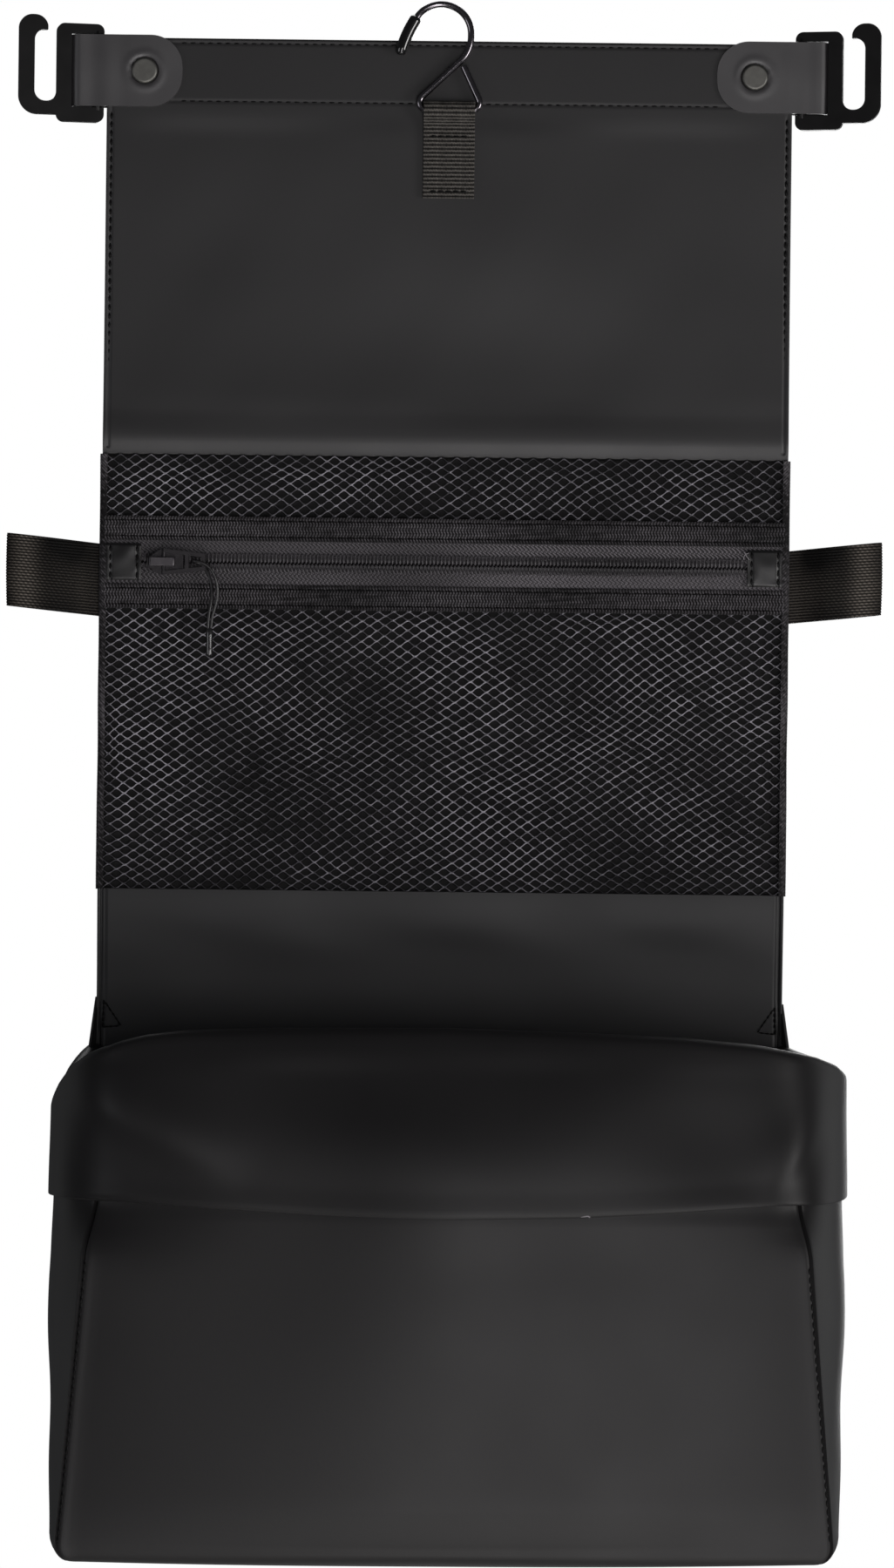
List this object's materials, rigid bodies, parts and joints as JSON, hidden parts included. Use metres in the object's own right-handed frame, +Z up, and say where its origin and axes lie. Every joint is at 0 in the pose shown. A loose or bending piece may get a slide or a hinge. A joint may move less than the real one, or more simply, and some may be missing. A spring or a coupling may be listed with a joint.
{
  "type": "hanging toiletry bag",
  "caption": "Roll-top hanging wash bag, open: wire hook, coated panels, zipped mesh pocket, side loops, strap hooks and a deep open pouch with a turned-down cuff.",
  "frame": {"origin": "inner surface of the wire hook's crown, on the bag's centre plane: the point that hangs on a rail", "axes": "+Z up, the bag's front (mesh pocket and pouch front) faces -Y, +X to the right seen from the front"},
  "size_m": [0.304, 0.1189, 0.5208],
  "materials": {
    "black_nickel_wire": "gloss black nickel",
    "sleeve_black": "gloss",
    "coated_fabric": "matte polyurethane coated fabric",
    "lining_fabric": "plain woven",
    "stiffener_sheet": "plain",
    "strap_coated": "coated, slightly lighter than the panel",
    "webbing_black": "ribbed woven webbing",
    "rivet_metal": "dull gunmetal",
    "buckle_black": "satin black",
    "mesh_grey": "open diamond mesh",
    "zip_tape_black": "woven tape",
    "zip_teeth_black": "coil",
    "grosgrain_black": "ribbed binding",
    "patch_coated": "matte coated",
    "slider_metal": "satin black",
    "cord_black": "smooth round cord",
    "cord_tip_black": "gloss tube"
  },
  "bodies": {
    "hanger": {"hanger_hook": "black_nickel_wire", "hanger_tip": "sleeve_black"},
    "top_panel": {"top_panel_front": "coated_fabric", "top_panel_back": "coated_fabric", "hem_stiffener": "stiffener_sheet", "hanger_tab": "webbing_black", "left_strap": "strap_coated", "right_strap": "strap_coated", "left_rivet": "rivet_metal", "right_rivet": "rivet_metal", "left_rivet_washer": "rivet_metal", "right_rivet_washer": "rivet_metal"},
    "left_buckle": {"left_g_hook": "buckle_black"},
    "right_buckle": {"right_g_hook": "buckle_black"},
    "mesh_panel": {"mid_back_panel": "coated_fabric", "mid_lining": "lining_fabric", "mesh_upper": "mesh_grey", "mesh_lower": "mesh_grey", "zip_tape_upper": "zip_tape_black", "zip_tape_lower": "zip_tape_black", "zip_binding_upper": "grosgrain_black", "zip_binding_lower": "grosgrain_black", "zip_teeth_upper": "zip_teeth_black", "zip_teeth_lower": "zip_teeth_black", "zip_patch_left": "patch_coated", "zip_patch_right": "patch_coated", "left_edge_binding": "grosgrain_black", "right_edge_binding": "grosgrain_black", "left_loop": "webbing_black", "right_loop": "webbing_black", "lower_panel": "coated_fabric"},
    "slider": {"zip_slider": "slider_metal", "slider_crown": "slider_metal"},
    "puller": {"zip_puller": "slider_metal", "pull_cord": "cord_black", "pull_cord_tip": "cord_tip_black"},
    "pouch": {"pouch_back": "coated_fabric", "pouch_front": "coated_fabric", "left_gusset": "coated_fabric", "right_gusset": "coated_fabric", "pouch_base": "coated_fabric", "pouch_cuff": "coated_fabric"}
  },
  "joints": [
    {"name": "bag_swing", "type": "hinge", "parent": "hanger", "child": "top_panel", "pos_m": [0, 0, -0.0348], "axis": [1, 0, 0], "range_deg": [-150, 0]},
    {"name": "left_buckle_swing", "type": "hinge", "parent": "top_panel", "child": "left_buckle", "pos_m": [-0.1215, 0.005, -0.022], "axis": [0, 0, 1], "range_deg": [-97, 78]},
    {"name": "right_buckle_swing", "type": "hinge", "parent": "top_panel", "child": "right_buckle", "pos_m": [0.1215, 0.005, -0.022], "axis": [0, 0, -1], "range_deg": [-97, 78]},
    {"name": "fold_upper", "type": "hinge", "parent": "top_panel", "child": "mesh_panel", "pos_m": [0, 0, -0.1539], "axis": [1, 0, 0], "range_deg": [-110, 0]},
    {"name": "fold_mouth", "type": "hinge", "parent": "mesh_panel", "child": "pouch", "pos_m": [0, 0.003, -0.34], "axis": [1, 0, 0], "range_deg": [-90, 0]},
    {"name": "slider_travel", "type": "slide", "parent": "mesh_panel", "child": "slider", "axis": [1, 0, 0], "range_m": [0, 0.193]},
    {"name": "puller_swing", "type": "hinge", "parent": "slider", "child": "puller", "pos_m": [-0.0963, -0.00345, -0.1912], "axis": [0, 0, -1], "range_deg": [0, 170]}
  ]
}
